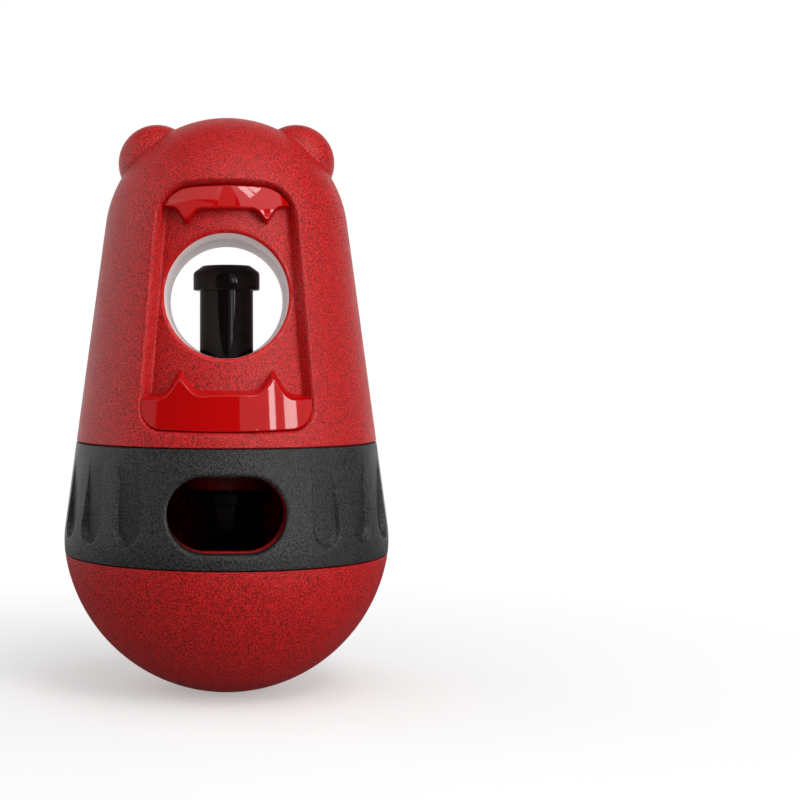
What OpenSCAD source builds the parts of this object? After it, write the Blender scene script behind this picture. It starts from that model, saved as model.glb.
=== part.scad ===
// Slow feeder puzzle ball: a tumbler bowl with a weight in its foot, a turning
// outlet ring, a pull-off upper shell with a window right through it, and a
// sprung knob that stands in the window. Millimetres, +Z up, front at -Y.

/* [Body] */
// Radius of the rounded bottom
ball_r = 45; // [42:0.5:50]
// Radius of the flat foot that it stands on
foot_r = 8; // [6:0.5:11]
// Overall height
body_h = 157.3; // [152:0.1:170]
// Slope of the side wall, in degrees from upright
side_taper = 7.65; // [7:0.05:8.2]
// How far the side wall lies inside the ball
side_inset = 0.8; // [0.4:0.1:1.2]
// Radius that blends the ball into the side wall
belly_r = 30; // [24:1:36]

/* [Bowl] */
// Wall of the bowl
bowl_wall = 2.6; // [2:0.1:3.4]
// Thickness of the pad that the weight stands on, over the foot
pad_h = 4.2; // [3.6:0.1:5]
// Radius of the pad
pad_r = 10; // [8:0.5:11]
// Radius of the weight
weight_r = 24; // [20:0.5:25]
// Height of the weight over its pad
weight_h = 15.8; // [12:0.1:16.5]
// Gap between the curve of the weight and the bowl
weight_gap = 0.5; // [0.3:0.1:1]

/* [Chamber floor] */
// Height of the top of the chamber floor
floor_z = 26; // [25:0.1:28]
// Thickness of the chamber floor
floor_t = 2.5; // [2:0.1:3]
// Gap round the chamber floor
floor_gap = 0.3; // [0.2:0.05:0.5]
// Width of the ledge in the bowl that the sleeve stands on
ledge_w = 1.6; // [1.2:0.1:2]

/* [Sleeve] */
// Wall of the inner sleeve
sleeve_wall = 3; // [2.7:0.1:3.3]
// Gap between the sleeve and its socket in the bowl
socket_gap = 0.05; // [0.02:0.01:0.1]
// Running gap between the sleeve and the ring
ring_run = 0.35; // [0.3:0.05:0.5]
// Width of the flange that keeps the ring on
keeper_w = 1.8; // [1.2:0.1:2]
// Thickness of that flange
keeper_t = 2.2; // [1.6:0.1:2.6]
// Height of the spigot that the shell pushes onto
spigot_h = 2.8; // [2.6:0.1:3]
// Gap between the spigot and the shell
spigot_gap = 0.3; // [0.2:0.05:0.4]
// Section diameter of the two seal rings
seal_d = 1.6; // [1.2:0.1:1.8]
// Gap left outside each seal ring
seal_gap = 0.06; // [0.03:0.01:0.1]
// Play over and under a seal ring in its groove
seal_play = 0.1; // [0.05:0.05:0.15]
// Distance of the ring's seal under the keeper flange
ring_seal_drop = 1.9; // [1.6:0.1:3]

/* [Outlet ring] */
// Height of the lower edge of the ring
ring_z = 37.7; // [36:0.1:38.5]
// Height of the ring
ring_h = 30.3; // [29.5:0.1:32]
// Wall of the ring at its upper edge, outside the sleeve
ring_wall = 3.05; // [2.9:0.05:3.6]
// Seam between the ring and the parts above and below it
seam_gap = 0.3; // [0.2:0.05:0.5]
// Turn of the ring from open to shut, in degrees
ring_turn = 55; // [45:1:60]
// Places round the ring at the pitch of the flutes
flute_places = 20; // [18:1:22]
// First place beside the outlet that has a flute
flute_first = 2; // [2:1:3]
// Half width of a flute at its round lower end
flute_half = 4.4; // [4:0.1:4.8]
// Half width of a flute at its top
flute_half_top = 3.4; // [3:0.1:3.8]
// Depth of a flute over its round lower end
flute_depth = 1.5; // [1:0.1:1.8]
// Height of the lower end of a flute over the edge of the ring
flute_lift = 5; // [4:0.1:6]
// Length of a flute
flute_len = 20.8; // [18:0.1:22]
// Wall between the sleeve's socket and the stop lug
lug_inset = 1.8; // [1.6:0.1:2]
// Thickness of the stop lug
lug_t = 2; // [1.6:0.1:2.2]
// Half width of the stop lug, in degrees
lug_half = 4; // [3:0.5:6]
// Height of the stop lug
lug_h = 1.8; // [1.4:0.1:2.2]
// Gap round the stop lug in its slot
lug_gap = 0.4; // [0.3:0.05:0.5]
// Spare turn at each end of that slot, in degrees
lug_spare = 2; // [1:0.5:3]

/* [Outlet] */
// Width of the oval outlet
outlet_w = 30.6; // [26:0.1:32]
// Height of the oval outlet
outlet_h = 19.5; // [17:0.1:20]
// Height of the middle of the outlet
outlet_z = 51.3; // [50.5:0.1:52]
// How much narrower the sleeve's own opening is on each side
outlet_lip = 0.2; // [0.1:0.1:0.6]
// How far the sleeve's opening stands to one side of the ring's
outlet_shift = 0.2; // [0:0.1:0.5]

/* [Upper shell] */
// Wall of the upper shell
shell_wall = 2.8; // [2.4:0.1:3.4]
// Wall of the upper shell round the spigot
socket_wall = 2.3; // [2:0.1:2.4]
// Radius of an ear
ear_r = 10.7; // [8:0.1:12]
// Slope of the line from the middle of the dome to an ear, in degrees
ear_angle = 47.9; // [40:0.1:55]
// Depth of the middle of an ear under the dome
ear_sink = 5; // [3:0.1:6]

/* [Recess] */
// Height of the lower edge of the recess over the shell's lower edge
recess_rise = 4.4; // [4.3:0.1:5.4]
// Height of the upper edge of the recess
recess_top = 136.2; // [134:0.1:138]
// Half width of the recess at its lower edge
recess_half_low = 23; // [21.5:0.1:24]
// Half width of the recess at its upper edge
recess_half_top = 18; // [17.5:0.1:19.5]
// How far the lower edge bows down in the middle
recess_bow_low = 0.5; // [0.3:0.1:0.6]
// How far the upper edge bows up in the middle
recess_bow_top = 1.2; // [0.6:0.1:1.6]
// Radius of the two lower corners
recess_corner_low = 5.5; // [4:0.1:7]
// Radius of the two upper corners
recess_corner_top = 9; // [7:0.1:9.6]
// Depth of the recess
recess_depth = 4.2; // [3.4:0.1:4.6]
// Wall left behind the recess
recess_wall = 2.4; // [2:0.1:3]
// Lean of the side walls of the recess, in degrees
recess_lean = 33; // [25:1:38]

/* [Window] */
// Radius of the window through the shell
window_r = 16.4; // [15.5:0.05:16.6]
// Height of the middle of the window
window_z = 107.3; // [106:0.1:108.5]
// Wall of the tunnel round the lining tube
tunnel_wall = 1.6; // [1.4:0.1:2]
// Wall of the lining tube, whose bore is flush with the window
liner_wall = 0.7; // [0.6:0.05:0.9]
// Gap round the lining tube in its seat
liner_gap = 0.05; // [0.02:0.01:0.1]
// Thickness of the lips in front of the ends of the lining
liner_lip = 1; // [0.6:0.1:1.4]
// Gap between the knob cap and the hole that it passes when the shell comes off
pass_gap = 0.6; // [0.4:0.1:0.8]
// Wall of the tube round the stem, between the window and the collar
tube_wall = 1.8; // [1.4:0.1:2]
// Gap round that tube in the floor of the tunnel
tube_gap = 0.05; // [0.02:0.01:0.1]
// Gap between the lower end of that tube and the collar
tube_end_gap = 0.8; // [0.5:0.1:1.2]

/* [Trims] */
// How far the face of an upper trim lies under the outer surface
upper_sink = 1.6; // [1.2:0.1:2]
// How far the face of a lower trim lies under the outer surface
lower_sink = 0.5; // [0.3:0.1:1]
// Gap round a trim
trim_gap = 0.12; // [0.08:0.01:0.2]
// Height of the straight edge of the upper trim
upper_edge = 129.8; // [128.5:0.1:131]
// Distance of its points from the middle
upper_point_x = 10.7; // [9:0.1:12]
// Length of its points
upper_point_len = 3.2; // [2.4:0.1:4]
// Width of its points at the root
upper_point_w = 5.2; // [4.6:0.1:6]
// Rise from the straight edge to the shoulders outside the points
upper_shoulder = 0.2; // [0.1:0.1:0.6]
// Height of the straight edge of the lower trim
lower_edge = 81.6; // [80:0.1:83]
// Distance of its points from the middle
lower_point_x = 12; // [10:0.1:13]
// Length of its points
lower_point_len = 4.2; // [3:0.1:5]
// Width of its points at the root
lower_point_w = 7.2; // [6.6:0.1:8]
// Drop from the straight edge to the shoulders outside the points
lower_shoulder = 1.1; // [0.6:0.1:1.6]
// Radius at the tip of a point
point_tip_r = 0.7; // [0.5:0.1:1]
// Radius at the root of a point
point_root_r = 2.4; // [1.6:0.1:2.6]

/* [Knob] */
// Radius of the knob's stem
stem_r = 7.4; // [6.6:0.1:7.8]
// Radius of the knob's cap
cap_r = 9.2; // [8.6:0.1:9.6]
// Height of the underside of the cap
cap_z = 109.6; // [108:0.1:111]
// Thickness of the cap
cap_h = 7; // [6:0.1:8]
// Height of the bevel round the top of the cap
cap_bevel = 2.1; // [1:0.1:3]
// Width of that bevel
cap_bevel_w = 2.4; // [1.2:0.1:3.4]
// Radius of the plug that holds the cap on the stem
plug_r = 4.5; // [3.5:0.1:5]
// Length of that plug
plug_h = 4.6; // [3:0.1:5]
// Gap round that plug
plug_gap = 0.05; // [0.02:0.01:0.1]
// Travel of the knob
knob_travel = 9; // [7:0.5:9.5]
// Running gap of the stem in its guide
guide_gap = 0.1; // [0.06:0.01:0.1]

/* [Core] */
// Outer radius of the core housing
core_r = 10.5; // [10.2:0.1:12]
// Wall of the core housing
core_wall = 1.5; // [1.2:0.1:1.6]
// Radius of the foot flange of the housing
core_foot_r = 17.5; // [17:0.1:19]
// Thickness of that flange
core_foot_t = 2.5; // [2:0.1:3]
// Height of the underside of the collar
collar_z = 51.2; // [50.8:0.1:52.5]
// Thickness of the collar
collar_t = 3.2; // [2.8:0.1:3.6]
// Radius of the collar
collar_r = 12.4; // [12.2:0.1:13.5]
// Length of the guide under the collar
guide_h = 3.4; // [2.8:0.1:3.6]
// Running gap between the stem's foot and the housing
stem_foot_gap = 0.3; // [0.25:0.05:0.4]
// Wire diameter of the return spring
wire_d = 1.2; // [0.8:0.1:1.3]
// Mean radius of the return spring
spring_r = 6.8; // [6:0.1:7.2]
// Turns of the return spring
spring_turns = 5; // [4:1:5]
// Room left in the spring when the knob is pressed right down
spring_spare = 0.7; // [0.5:0.1:1.2]

/* [Screws] */
// Number of screws in each ring of screws
screw_count = 3; // [3:1:4]
// Distance of the cover screws from the inside of the sleeve
cover_screw_in = 4; // [3.8:0.1:5]
// Thread radius of a cover screw
cover_screw_r = 1.5; // [1.2:0.1:1.6]
// How deep a cover screw bites into the bowl
cover_bite = 5.5; // [4:0.5:6]
// Head radius of a cover screw
cover_head_r = 2.8; // [2.4:0.1:3]
// Head height of a cover screw
cover_head_h = 2; // [1.6:0.1:2.4]
// Distance of the housing screws from the middle
housing_screw_at = 14; // [13.8:0.1:14.4]
// Thread radius of a housing screw
housing_screw_r = 1.25; // [1:0.05:1.4]
// Distance of the end of a housing screw from the weight
housing_end = 0.6; // [0.4:0.1:1]
// Head radius of a housing screw
housing_head_r = 2.3; // [2:0.1:2.6]
// Head height of a housing screw
housing_head_h = 1.6; // [1.2:0.1:2]
// Gap round a screw where it passes through
screw_gap = 0.2; // [0.1:0.05:0.3]
// Wall round a screw where it bites
boss_wall = 1.7; // [1.4:0.1:2]
// Thickness of the sleeve's lugs under the cover screws
tab_t = 2.4; // [2:0.1:3]
// Margin of those lugs round the head of their screw
tab_edge = 0.7; // [0.5:0.1:0.8]

/* [Hidden] */
$fn = 96;

body_red = [0.72, 0.09, 0.11];
gloss_red = [0.66, 0.02, 0.03];
soft_black = [0.17, 0.17, 0.18];
gloss_black = [0.06, 0.06, 0.06];
liner_white = [0.88, 0.86, 0.86];
iron_grey = [0.38, 0.38, 0.4];
steel_grey = [0.7, 0.7, 0.72];

// Overlap that keeps cuts clear of the faces they pass through
cut = 1;
far = 2 * ball_r;
// Least straight run between two round corners
sliver = 0.01;
// Share of a corner's radius that an edge leaves to the corner
corner_share = 1.4;
// Share of a flute's half width that is the radius of its lower end
nose_share = 0.92;
arc_steps = 18;
belly_steps = 6;
corner_steps = 6;

// Outline of the body: ball, belly blend, straight side, dome
ball_z = sqrt(ball_r * ball_r - foot_r * foot_r);
line_d = ball_r - side_inset;
dome_r = (line_d - (body_h - ball_z) * sin(side_taper)) / (1 - sin(side_taper));
dome_z = body_h - dome_r;
belly_drop = sqrt(pow(ball_r - belly_r, 2) - pow(line_d - belly_r, 2));
belly_x = (line_d - belly_r) * cos(side_taper) + belly_drop * sin(side_taper);
belly_z = ball_z + (line_d - belly_r) * sin(side_taper) - belly_drop * cos(side_taper);
belly_angle = atan2(belly_z - ball_z, belly_x);
function side_r(z) = (line_d - (z - ball_z) * sin(side_taper)) / cos(side_taper);

// Heights and radii that follow from the sizes above
rim_z = ring_z - seam_gap;
ring_top = ring_z + ring_h;
shell_z = ring_top + seam_gap;
weight_top = pad_h + weight_h;
floor_low = floor_z - floor_t;
ring_bore = side_r(ring_top) - ring_wall;
sleeve_r = ring_bore - ring_run;
sleeve_in = sleeve_r - sleeve_wall;
socket_r = sleeve_r + socket_gap;
ledge_r = socket_r - ledge_w;
floor_r = ledge_r - floor_gap;
keeper_top = shell_z - spigot_gap;
keeper_low = keeper_top - keeper_t;
keeper_r = sleeve_r + keeper_w;
rebate_z = keeper_low - ring_run;
rebate_r = keeper_r + ring_run;
socket_in = side_r(shell_z) - socket_wall;
spigot_r = socket_in - spigot_gap;
spigot_top = shell_z + spigot_h;
socket_top = spigot_top + spigot_gap;
shell_seal_z = shell_z + spigot_h / 2;
ring_seal_z = keeper_low - ring_seal_drop;
outlet_w_in = outlet_w - 2 * outlet_lip;
outlet_h_in = outlet_h - 2 * outlet_lip;
recess_low = shell_z + recess_rise;
window_back = recess_depth + recess_wall;
liner_r = window_r + liner_wall;
liner_seat_r = liner_r + liner_gap;
liner_seat_d = recess_depth + liner_lip;
pass_r = cap_r + pass_gap;
tube_r = pass_r + tube_wall;
tube_hole_r = tube_r + tube_gap;
core_bore = core_r - core_wall;
core_floor = floor_z + core_foot_t;
collar_top = collar_z + collar_t;
tube_low = collar_top + tube_end_gap;
guide_low = collar_z - guide_h;
guide_r = stem_r + guide_gap;
stem_foot_top = guide_low - stem_foot_gap;
stem_foot_low = core_floor + (spring_turns + 1) * wire_d + knob_travel + spring_spare;
stem_foot_r = core_bore - stem_foot_gap;
cover_screw_at = sleeve_in - cover_screw_in;
cover_hole_r = cover_screw_r + screw_gap;
cover_boss_r = cover_screw_r + boss_wall;
cover_screw_top = floor_z + tab_t;
cover_screw_low = floor_low - cover_bite;
housing_hole_r = housing_screw_r + screw_gap;
housing_boss_r = housing_screw_r + boss_wall;
housing_screw_low = weight_top + housing_end;
lug_in = socket_r + lug_inset;
dome_ear = dome_r - ear_sink;

function arc(c, r, a0, a1, n) =
    [for (i = [0:n]) c + r * [cos(a0 + (a1 - a0) * i / n), sin(a0 + (a1 - a0) * i / n)]];
function unit(v) = v / norm(v);
function turn(a) = a > 180 ? a - 360 : a < -180 ? a + 360 : a;

// Points round one corner of an outline, from its neighbours and its radius
function corner(p0, p1, p2, r) =
    let (u = unit(p0 - p1), v = unit(p2 - p1), half = acos(u * v) / 2)
    let (c = p1 + unit(u + v) * r / sin(half), d = r / tan(half))
    let (s = p1 + u * d - c, e = p1 + v * d - c)
    let (a0 = atan2(s[1], s[0]), da = turn(atan2(e[1], e[0]) - a0))
    arc(c, r, a0, a0 + da, corner_steps);
function rounded(p, r) =
    let (n = len(p))
    [for (i = [0:n - 1]) each corner(p[(i + n - 1) % n], p[i], p[(i + 1) % n], r[i])];

// Solid of the body drawn in by d from its outer surface, without the foot
module body_solid(d = 0) {
    points = concat(
        arc([0, ball_z], ball_r - d, -90, belly_angle, arc_steps),
        arc([belly_x, belly_z], belly_r - d, belly_angle, side_taper, belly_steps),
        arc([0, dome_z], dome_r - d, side_taper, 90, arc_steps));
    rotate_extrude() polygon(points);
}

// Slab of the full width between two heights
module slab(z0, z1) {
    translate([0, 0, z0]) cylinder(r = far, h = z1 - z0);
}

// Prism that runs to the front from the middle, drawn in x and z
module forward() {
    rotate([90, 0, 0]) linear_extrude(far) children();
}

module oval(w, h) {
    r = h / 2 - sliver;
    x = w / 2;
    y = h / 2;
    polygon(rounded([[-x, -y], [x, -y], [x, y], [-x, y]], [r, r, r, r]));
}

// Copies at the screw places, the first one at the rear
module at_screws(radius) {
    for (i = [0:screw_count - 1])
        rotate([0, 0, 90 + i * 360 / screw_count]) translate([radius, 0, 0]) children();
}

module screw(r, head_r, head_h, seat, low) {
    translate([0, 0, low]) cylinder(r = r, h = seat - low);
    translate([0, 0, seat]) difference() {
        cylinder(r = head_r, h = head_h);
        translate([0, 0, head_h / 2]) cylinder(r = head_r / 2, h = head_h, $fn = 6);
    }
}

module seal(r, z) {
    rotate_extrude() translate([r - seal_gap - seal_d / 2, z]) circle(d = seal_d);
}

module seal_groove(r, z) {
    groove_h = seal_d + 2 * seal_play;
    translate([0, 0, z - groove_h / 2]) difference() {
        cylinder(r = r + cut, h = groove_h);
        translate([0, 0, -cut]) cylinder(r = r - seal_d + seal_play, h = groove_h + 2 * cut);
    }
}

// Radius of a bowed edge, which leaves room for the corners at its ends
function bow_r(half, bow, corner_r) = (half - corner_share * corner_r) * half / bow;

// Recess outline at the side walls, drawn in by d
module recess_outline(d) {
    a = recess_half_low - d;
    b = recess_half_top - d;
    z0 = recess_low + d;
    z1 = recess_top - d;
    low = recess_corner_low - d;
    top = recess_corner_top - d;
    low_bow = bow_r(a, recess_bow_low, low);
    top_bow = bow_r(b, recess_bow_top, top);
    polygon(rounded(
        [[-a, z0], [0, z0 - recess_bow_low], [a, z0], [b, z1], [0, z1 + recess_bow_top], [-b, z1]],
        [low, low_bow, low, top, top_bow, top]));
}

// Wedge over the recess: its side walls lean in towards the axis
module recess_wedge(d) {
    half = (recess_half_low + recess_half_top) / 2;
    edge_y = sqrt(pow(side_r(window_z), 2) - half * half);
    wedge_depth = 3 * recess_depth;
    in_y = edge_y - wedge_depth;
    slope = tan(recess_lean);
    narrow = 1 - slope * wedge_depth / half;
    wide = 1 + slope * (far - edge_y) / half;
    translate([0, -in_y, 0]) rotate([90, 0, 0])
        linear_extrude(far - in_y, scale = [wide / narrow, 1], slices = 1)
            scale([narrow, 1]) recess_outline(d);
}

// Space of the recess, drawn in by d on all its sides
module recess_space(d = 0) {
    difference() {
        recess_wedge(d);
        body_solid(recess_depth - d);
    }
}

// Material left behind the recess, inside the hollow of the shell
module recess_backing() {
    difference() {
        recess_wedge(-recess_wall);
        body_solid(window_back);
    }
}

module window_bar(r) {
    translate([0, far, window_z]) rotate([90, 0, 0]) cylinder(r = r, h = 2 * far);
}

// Half plane bounded by a trim's edge with its two points, up = 1 or -1
module trim_outline(edge, px, len, w, shoulder, up) {
    tip = edge - up * len;
    out = edge + up * shoulder;
    back = edge + up * far;
    polygon(rounded(
        [[-far, back], [-far, out], [-px - w / 2, out], [-px, tip], [-px + w / 2, edge],
         [px - w / 2, edge], [px, tip], [px + w / 2, out], [far, out], [far, back]],
        [cut, cut, point_root_r, point_tip_r, point_root_r,
         point_root_r, point_tip_r, point_root_r, cut, cut]));
}

module trim(sink) {
    intersection() {
        recess_space(trim_gap);
        body_solid(sink);
        forward() children();
    }
}

module upper_trim() {
    trim(upper_sink) trim_outline(upper_edge, upper_point_x, upper_point_len, upper_point_w,
                                  upper_shoulder, 1);
}

module lower_trim() {
    trim(lower_sink) trim_outline(lower_edge, lower_point_x, lower_point_len, lower_point_w,
                                  lower_shoulder, -1);
}

module base_bowl() {
    color(body_red) difference() {
        union() {
            difference() {
                intersection() {
                    body_solid();
                    slab(0, rim_z);
                }
                intersection() {
                    body_solid(bowl_wall);
                    slab(-cut, floor_low);
                }
                translate([0, 0, floor_low - cut]) cylinder(r = ledge_r, h = floor_t + 2 * cut);
                translate([0, 0, floor_z]) cylinder(r = socket_r, h = far);
            }
            intersection() {
                body_solid(bowl_wall / 2);
                union() {
                    cylinder(r = pad_r, h = pad_h);
                    at_screws(cover_screw_at) cylinder(r = cover_boss_r, h = floor_low);
                }
                slab(0, floor_low);
            }
        }
        at_screws(cover_screw_at) translate([0, 0, cover_screw_low])
            cylinder(r = cover_screw_r, h = far);
        lug_slot();
    }
}

// Slot in the rim of the bowl for the ring's stop lug over its whole turn
module lug_slot() {
    half = lug_half + lug_spare;
    translate([0, 0, ring_z - lug_h - lug_gap]) rotate([0, 0, 90 - half])
        rotate_extrude(angle = ring_turn + 2 * half)
            translate([lug_in - lug_gap, 0]) square([lug_t + 2 * lug_gap, far]);
}

module counterweight() {
    color(iron_grey) intersection() {
        body_solid(bowl_wall + weight_gap);
        translate([0, 0, pad_h]) cylinder(r = weight_r, h = weight_h);
    }
}

module weight_cover() {
    color(body_red) difference() {
        union() {
            translate([0, 0, floor_low]) cylinder(r = floor_r, h = floor_t);
            at_screws(housing_screw_at) translate([0, 0, weight_top])
                cylinder(r = housing_boss_r, h = floor_low - weight_top + cut);
        }
        at_screws(cover_screw_at) cylinder(r = cover_hole_r, h = far);
        at_screws(housing_screw_at) translate([0, 0, housing_screw_low])
            cylinder(r = housing_screw_r, h = far);
    }
}

module cover_screws() {
    color(steel_grey) at_screws(cover_screw_at)
        screw(cover_screw_r, cover_head_r, cover_head_h, cover_screw_top, cover_screw_low);
}

module housing_screws() {
    color(steel_grey) at_screws(housing_screw_at)
        screw(housing_screw_r, housing_head_r, housing_head_h, core_floor, housing_screw_low);
}

module outlet_sleeve() {
    tab_w = 2 * cover_boss_r;
    color(body_red) difference() {
        union() {
            rotate_extrude() polygon([
                [sleeve_in, floor_z], [sleeve_r, floor_z], [sleeve_r, keeper_low],
                [keeper_r, keeper_low], [keeper_r, keeper_top], [spigot_r, keeper_top],
                [spigot_r, spigot_top], [sleeve_in, spigot_top]]);
            intersection() {
                at_screws(cover_screw_at) translate([0, 0, floor_z]) {
                    cylinder(r = cover_head_r + tab_edge, h = tab_t);
                    translate([0, -tab_w / 2, 0]) cube([far, tab_w, tab_t]);
                }
                cylinder(r = sleeve_r - sleeve_wall / 2, h = far);
            }
        }
        seal_groove(sleeve_r, ring_seal_z);
        seal_groove(spigot_r, shell_seal_z);
        at_screws(cover_screw_at) cylinder(r = cover_hole_r, h = far);
        translate([-outlet_shift, 0, outlet_z]) forward() oval(outlet_w_in, outlet_h_in);
    }
}

module ring_seal() {
    color(soft_black) seal(ring_bore, ring_seal_z);
}

module shell_seal() {
    color(soft_black) seal(socket_in, shell_seal_z);
}

// Cutter of one flute: a pocket with a flat floor, deep at its round lower end and running
// out at its top
module flute() {
    z0 = ring_z + flute_lift + flute_half;
    z1 = ring_z + flute_lift + flute_len;
    r0 = side_r(z0) - flute_depth;
    r1 = side_r(z1);
    low = -flute_half;
    top = norm([r1 - r0, z1 - z0]) + cut;
    nose = flute_half * nose_share;
    translate([0, -r0, z0]) rotate([90 + atan2(r1 - r0, z1 - z0), 0, 0]) linear_extrude(far)
        polygon(rounded(
            [[-flute_half, low], [flute_half, low], [flute_half_top, top], [-flute_half_top, top]],
            [nose, nose, cut, cut]));
}

module grip_ring() {
    color(soft_black) {
        difference() {
            intersection() {
                body_solid();
                slab(ring_z, ring_top);
            }
            translate([0, 0, ring_z - cut]) cylinder(r = ring_bore, h = ring_h + 2 * cut);
            translate([0, 0, rebate_z]) cylinder(r = rebate_r, h = far);
            translate([0, 0, outlet_z]) forward() oval(outlet_w, outlet_h);
            for (i = [flute_first:flute_places - flute_first])
                rotate([0, 0, i * 360 / flute_places]) flute();
        }
        translate([0, 0, ring_z - lug_h]) rotate([0, 0, 90 - lug_half])
            rotate_extrude(angle = 2 * lug_half)
                translate([lug_in, 0]) square([lug_t, lug_h + cut]);
    }
}

module core_housing() {
    color(gloss_black) difference() {
        union() {
            translate([0, 0, floor_z]) cylinder(r = core_foot_r, h = core_foot_t);
            translate([0, 0, floor_z]) cylinder(r = core_r, h = collar_z - floor_z);
        }
        translate([0, 0, core_floor]) cylinder(r = core_bore, h = far);
        at_screws(housing_screw_at) cylinder(r = housing_hole_r, h = far);
    }
}

module housing_collar() {
    color(gloss_black) rotate_extrude() polygon([
        [guide_r, guide_low], [core_bore - plug_gap, guide_low], [core_bore - plug_gap, collar_z],
        [collar_r, collar_z], [collar_r, collar_top], [guide_r, collar_top]]);
}

// Return spring: one unbroken round wire on a helix
coil_rings = 8;
coil_sides = 6;
coil_low = core_floor + wire_d / 2;
coil_rise = stem_foot_low - core_floor - wire_d;
coil_n = spring_turns * coil_rings;
function coil_mid(i) =
    let (a = 360 * i / coil_rings)
    [spring_r * cos(a), spring_r * sin(a), coil_low + coil_rise * i / coil_n];
function coil_ring(i) =
    let (a = 360 * i / coil_rings, m = coil_mid(i))
    [for (j = [0:coil_sides - 1])
        let (b = 360 * j / coil_sides, w = wire_d / 2)
        m + w * [cos(b) * cos(a), cos(b) * sin(a), sin(b)]];
coil_gap = min([for (i = [0:coil_n - coil_rings])
    norm(coil_mid(i + coil_rings) - coil_mid(i))]) - wire_d;

module return_spring() {
    points = [for (i = [0:coil_n]) each coil_ring(i)];
    side = [for (i = [0:coil_n - 1], j = [0:coil_sides - 1])
        let (a = i * coil_sides + j, b = i * coil_sides + (j + 1) % coil_sides)
        each [[a, b, a + coil_sides], [b, b + coil_sides, a + coil_sides]]];
    last = coil_n * coil_sides;
    ends = [for (j = [1:coil_sides - 2])
        each [[0, j + 1, j], [last, last + j, last + j + 1]]];
    color(steel_grey) polyhedron(points, concat(side, ends));
}
echo("least gap between the turns of the return spring", coil_gap);

module knob_stem() {
    color(gloss_black) rotate_extrude() polygon([
        [0, stem_foot_low], [stem_foot_r, stem_foot_low], [stem_foot_r, stem_foot_top],
        [stem_r, stem_foot_top], [stem_r, cap_z], [plug_r, cap_z],
        [plug_r, cap_z + plug_h], [0, cap_z + plug_h]]);
}

module knob_cap() {
    bore = plug_r + plug_gap;
    bore_top = cap_z + plug_h + plug_gap;
    top = cap_z + cap_h;
    color(gloss_black) rotate_extrude() polygon([
        [bore, cap_z], [cap_r, cap_z], [cap_r, top - cap_bevel],
        [cap_r - cap_bevel_w, top], [0, top], [0, bore_top], [bore, bore_top]]);
}

module upper_shell() {
    color(body_red) difference() {
        union() {
            difference() {
                union() {
                    body_solid();
                    for (side = [-1, 1]) translate([side * dome_ear * cos(ear_angle), 0,
                                                    dome_z + dome_ear * sin(ear_angle)])
                        sphere(r = ear_r);
                }
                difference() {
                    body_solid(shell_wall);
                    for (a = [0, 180]) rotate([0, 0, a]) recess_backing();
                }
            }
            intersection() {
                body_solid(shell_wall / 2);
                window_bar(liner_seat_r + tunnel_wall);
            }
        }
        slab(-far, shell_z);
        translate([0, 0, shell_z - cut]) cylinder(r = socket_in, h = socket_top - shell_z + cut);
        for (a = [0, 180]) rotate([0, 0, a]) recess_space();
        window_bar(window_r);
        intersection() {
            window_bar(liner_seat_r);
            body_solid(liner_seat_d);
        }
        translate([0, 0, shell_z]) cylinder(r = tube_hole_r, h = window_z - shell_z);
    }
}

// Tube that keeps the food off the stem; its upper end lies against the lining
module stem_tube() {
    color(body_red) difference() {
        translate([0, 0, tube_low]) cylinder(r = tube_r, h = window_z - tube_low);
        translate([0, 0, tube_low - cut]) cylinder(r = pass_r, h = far);
        window_bar(liner_seat_r);
    }
}

module window_liner() {
    color(liner_white) difference() {
        intersection() {
            window_bar(liner_r);
            body_solid(liner_seat_d + liner_gap);
        }
        window_bar(window_r);
        translate([0, 0, shell_z]) cylinder(r = pass_r, h = window_z - shell_z);
    }
}

module front_upper_trim() { color(gloss_red) upper_trim(); }
module front_lower_trim() { color(gloss_red) lower_trim(); }
module rear_upper_trim() { color(gloss_red) rotate([0, 0, 180]) upper_trim(); }
module rear_lower_trim() { color(gloss_red) rotate([0, 0, 180]) lower_trim(); }

base_bowl();
counterweight();
weight_cover();
cover_screws();
outlet_sleeve();
ring_seal();
shell_seal();
core_housing();
housing_collar();
housing_screws();
return_spring();
grip_ring();
upper_shell();
stem_tube();
window_liner();
front_upper_trim();
front_lower_trim();
rear_upper_trim();
rear_lower_trim();
knob_stem();
knob_cap();
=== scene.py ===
import bmesh
import bpy
from math import asin, atan2, cos, hypot, pi, radians, sin, sqrt, tan
from mathutils import Matrix, Vector


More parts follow.
